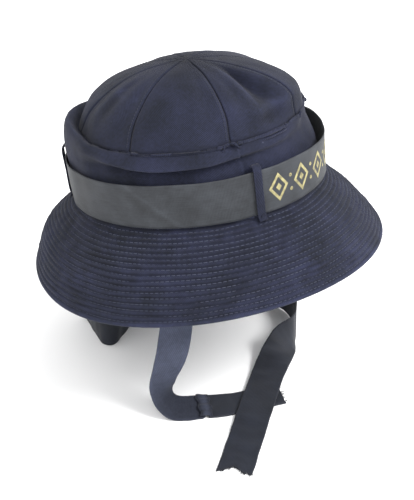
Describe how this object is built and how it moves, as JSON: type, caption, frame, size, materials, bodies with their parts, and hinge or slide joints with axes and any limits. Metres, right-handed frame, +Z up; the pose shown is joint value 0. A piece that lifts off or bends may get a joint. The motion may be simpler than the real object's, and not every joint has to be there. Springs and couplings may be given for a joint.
{
  "type": "sailor hat with stitched brim and chin ties",
  "caption": "Soft gored cloth hat with a wide stitched brim, a ribbon held by cloth loops, and chin ties, held up as a head holds it.",
  "frame": {"origin": "middle of the head opening at the seam between side band and brim, where the hat sits on a head", "axes": "+Z up, -Y the front of the hat, -X the wearer's right; the hat itself is tilted back 7 degrees about X"},
  "size_m": [0.2946, 0.2786, 0.2637],
  "materials": {
    "navy_cotton": "matt navy cotton twill",
    "cap_ribbon_silk": "faded black silk ribbon with woven gold",
    "black_ribbon": "black corded ribbon, slight sheen",
    "navy_tape": "navy cotton tape",
    "gold_thread": "dull gold woven thread"
  },
  "bodies": {
    "root": {"crown_gore_1": "navy_cotton", "crown_gore_2": "navy_cotton", "crown_gore_3": "navy_cotton", "crown_gore_4": "navy_cotton", "crown_gore_5": "navy_cotton", "crown_gore_6": "navy_cotton", "crown_gore_7": "navy_cotton", "crown_gore_8": "navy_cotton", "side_band": "navy_cotton", "brim": "navy_cotton", "cap_ribbon": "cap_ribbon_silk", "ribbon_loop_right": "navy_cotton", "ribbon_loop_left": "navy_cotton", "ribbon_loop_back": "navy_cotton", "right_tie_tape": "navy_tape", "right_tie_ribbon": "black_ribbon", "left_tie_tape": "navy_tape", "left_tie_ribbon": "black_ribbon"}
  },
  "joints": []
}
